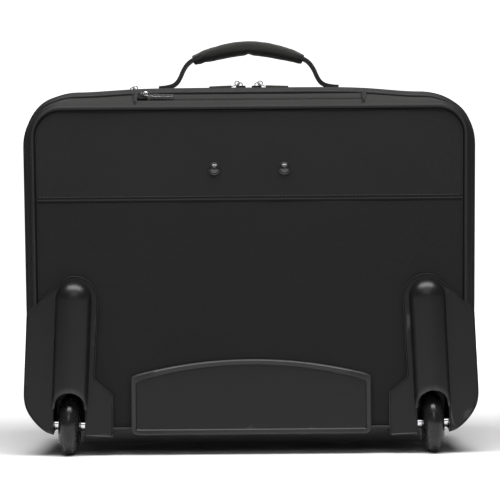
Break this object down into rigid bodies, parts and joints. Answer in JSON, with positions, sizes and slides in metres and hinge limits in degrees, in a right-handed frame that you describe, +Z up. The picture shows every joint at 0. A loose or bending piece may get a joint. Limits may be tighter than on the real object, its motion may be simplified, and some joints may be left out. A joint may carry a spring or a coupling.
{
  "type": "rolling laptop case",
  "caption": "Soft rolling laptop case with inline wheels, telescopic trolley handle, carry handle and zipped front lid.",
  "frame": {"origin": "middle of the footprint, on the floor", "axes": "+Z up, -Y towards the rear face with the wheels, +Y towards the front lid, +X to the right as seen from the rear"},
  "size_m": [0.4408, 0.21, 0.407],
  "materials": {
    "body_fabric": "matte fine-woven polyester, near black",
    "yoke_fabric": "matte fine-woven polyester, charcoal",
    "gusset_fabric": "matte fine-woven polyester, charcoal",
    "piping": "black corded piping",
    "lining": "smooth grey lining",
    "board": "stiff plastic sheet",
    "zip_tape": "black zip tape and coil",
    "webbing": "black woven webbing",
    "grip_leatherette": "padded charcoal grip wrap",
    "guard_plastic": "satin moulded black plastic",
    "foot_plastic": "black moulded plastic",
    "handle_plastic": "black moulded plastic",
    "button_plastic": "grey moulded plastic",
    "hub_plastic": "dark grey glass-filled nylon",
    "rivet_black": "glossy black",
    "tyre": "glossy dark urethane",
    "chrome_steel": "bright plated",
    "bearing_steel": "ground steel with shield",
    "steel_fastener": "zinc plated",
    "steel_bracket": "zinc plated",
    "aluminium_tube": "satin anodised",
    "zip_metal": "gunmetal plated"
  },
  "bodies": {
    "case": {"rear_panel_yoke": "yoke_fabric", "rear_panel_lower": "body_fabric", "rear_piping": "piping", "rear_board": "board", "rear_gusset": "gusset_fabric", "seam_piping": "piping", "rear_zip_lips": "zip_tape", "main_gusset": "gusset_fabric", "laptop_zip_lips": "zip_tape", "trolley_partition": "lining", "inner_divider": "lining", "bottom_board": "board", "main_zip_tape": "zip_tape", "wheel_guard_left": "guard_plastic", "wheel_guard_right": "guard_plastic", "guard_screws": "steel_fastener", "axles": "chrome_steel", "axle_spacers": "chrome_steel", "kick_plate": "guard_plastic", "front_foot": "foot_plastic", "trolley_outer_tubes": "aluminium_tube", "trolley_bezel": "handle_plastic", "trolley_base_bracket": "handle_plastic", "trolley_cross_bracket": "steel_bracket", "panel_rivets": "rivet_black", "handle_patches": "webbing"},
    "wheel_left": {"tyre_left": "tyre", "hub_left": "hub_plastic", "bearings_left": "bearing_steel"},
    "wheel_right": {"tyre_right": "tyre", "hub_right": "hub_plastic", "bearings_right": "bearing_steel"},
    "stage1": {"stage1_tubes": "aluminium_tube", "stage1_collars": "handle_plastic"},
    "stage2": {"stage2_tubes": "aluminium_tube", "stage2_collars": "handle_plastic"},
    "trolley_grip": {"stage3_tubes": "aluminium_tube", "grip_lower_shell": "handle_plastic", "grip_upper_shell": "handle_plastic", "lock_blocks": "handle_plastic"},
    "button": {"release_button": "button_plastic", "release_rods": "steel_bracket", "button_spring": "steel_fastener"},
    "pin_left": {"lock_pin_left": "steel_fastener"},
    "pin_right": {"lock_pin_right": "steel_fastener"},
    "carry_handle": {"carry_webbing": "webbing", "carry_grip": "grip_leatherette"},
    "lid": {"lid_gusset": "gusset_fabric", "lid_panel": "body_fabric", "lid_piping": "piping", "lid_organiser": "lining"},
    "rear_zip_slider": {"rear_zip_slider": "zip_metal"},
    "rear_zip_puller": {"rear_zip_puller": "zip_metal"},
    "laptop_zip_left_slider": {"laptop_zip_left_slider": "zip_metal"},
    "laptop_zip_left_puller": {"laptop_zip_left_puller": "zip_metal"},
    "laptop_zip_right_slider": {"laptop_zip_right_slider": "zip_metal"},
    "laptop_zip_right_puller": {"laptop_zip_right_puller": "zip_metal"},
    "main_zip_slider": {"main_zip_slider": "zip_metal"},
    "main_zip_puller": {"main_zip_puller": "zip_metal"}
  },
  "joints": [
    {"name": "wheel_left_spin", "type": "hinge", "parent": "case", "child": "wheel_left", "pos_m": [-0.177, -0.075, 0.02998], "axis": [0.9989, 0, -0.0462], "continuous": true},
    {"name": "wheel_right_spin", "type": "hinge", "parent": "case", "child": "wheel_right", "pos_m": [0.177, -0.075, 0.02998], "axis": [0.9989, 0, 0.0462], "continuous": true},
    {"name": "trolley_stage1", "type": "slide", "parent": "case", "child": "stage1", "axis": [0, 0, 1], "range_m": [0, 0.205], "deforming": ["rear_zip_lips"]},
    {"name": "trolley_stage2", "type": "slide", "parent": "stage1", "child": "stage2", "axis": [0, 0, 1], "range_m": [0, 0.205]},
    {"name": "trolley_stage3", "type": "slide", "parent": "stage2", "child": "trolley_grip", "axis": [0, 0, 1], "range_m": [0, 0.205]},
    {"name": "button_press", "type": "slide", "parent": "trolley_grip", "child": "button", "axis": [0, 0, -1], "range_m": [0, 0.004], "stiffness_N_per_m": 900, "springref_m": -0.002, "deforming": ["button_spring"]},
    {"name": "lock_pin_left_slide", "type": "slide", "parent": "trolley_grip", "child": "pin_left", "axis": [1, 0, 0], "range_m": [0, 0.002]},
    {"name": "lock_pin_right_slide", "type": "slide", "parent": "trolley_grip", "child": "pin_right", "axis": [-1, 0, 0], "range_m": [0, 0.002]},
    {"name": "carry_handle_swing", "type": "hinge", "parent": "case", "child": "carry_handle", "pos_m": [0, 0.002, 0.3606], "axis": [1, 0, 0], "range_deg": [-58, 58], "deforming": ["carry_webbing"]},
    {"name": "lid_hinge", "type": "hinge", "parent": "case", "child": "lid", "pos_m": [0, 0.0615, 0.0455], "axis": [-1, 0, 0], "range_deg": [0, 90]},
    {"name": "rear_zip_slide", "type": "slide", "parent": "case", "child": "rear_zip_slider", "axis": [1, 0, 0], "range_m": [0, 0.208]},
    {"name": "rear_zip_puller_swing", "type": "hinge", "parent": "rear_zip_slider", "child": "rear_zip_puller", "pos_m": [-0.10205, -0.06899, 0.35095], "axis": [0, -0.8803, -0.4744], "range_deg": [0, 110]},
    {"name": "laptop_zip_left_slide", "type": "slide", "parent": "case", "child": "laptop_zip_left_slider", "axis": [-1, 0, 0], "range_m": [0, 0.12], "deforming": ["laptop_zip_lips"]},
    {"name": "laptop_zip_left_puller_swing", "type": "hinge", "parent": "laptop_zip_left_slider", "child": "laptop_zip_left_puller", "pos_m": [-0.00995, -0.03, 0.3635], "axis": [0, 1, 0], "range_deg": [0, 110]},
    {"name": "laptop_zip_right_slide", "type": "slide", "parent": "case", "child": "laptop_zip_right_slider", "axis": [1, 0, 0], "range_m": [0, 0.12]},
    {"name": "laptop_zip_right_puller_swing", "type": "hinge", "parent": "laptop_zip_right_slider", "child": "laptop_zip_right_puller", "pos_m": [0.00995, -0.03, 0.3635], "axis": [0, -1, 0], "range_deg": [0, 110]},
    {"name": "main_zip_slide", "type": "slide", "parent": "case", "child": "main_zip_slider", "axis": [1, 0, 0], "range_m": [0, 0.25]},
    {"name": "main_zip_puller_swing", "type": "hinge", "parent": "main_zip_slider", "child": "main_zip_puller", "pos_m": [-0.11805, 0.061, 0.3635], "axis": [0, -1, 0], "range_deg": [0, 110]}
  ],
  "couplings": [
    {"joint": "trolley_stage2", "follows": "trolley_stage1", "ratio": 1},
    {"joint": "trolley_stage3", "follows": "trolley_stage1", "ratio": 1},
    {"joint": "lock_pin_left_slide", "follows": "button_press", "ratio": 0.5},
    {"joint": "lock_pin_right_slide", "follows": "button_press", "ratio": 0.5}
  ]
}
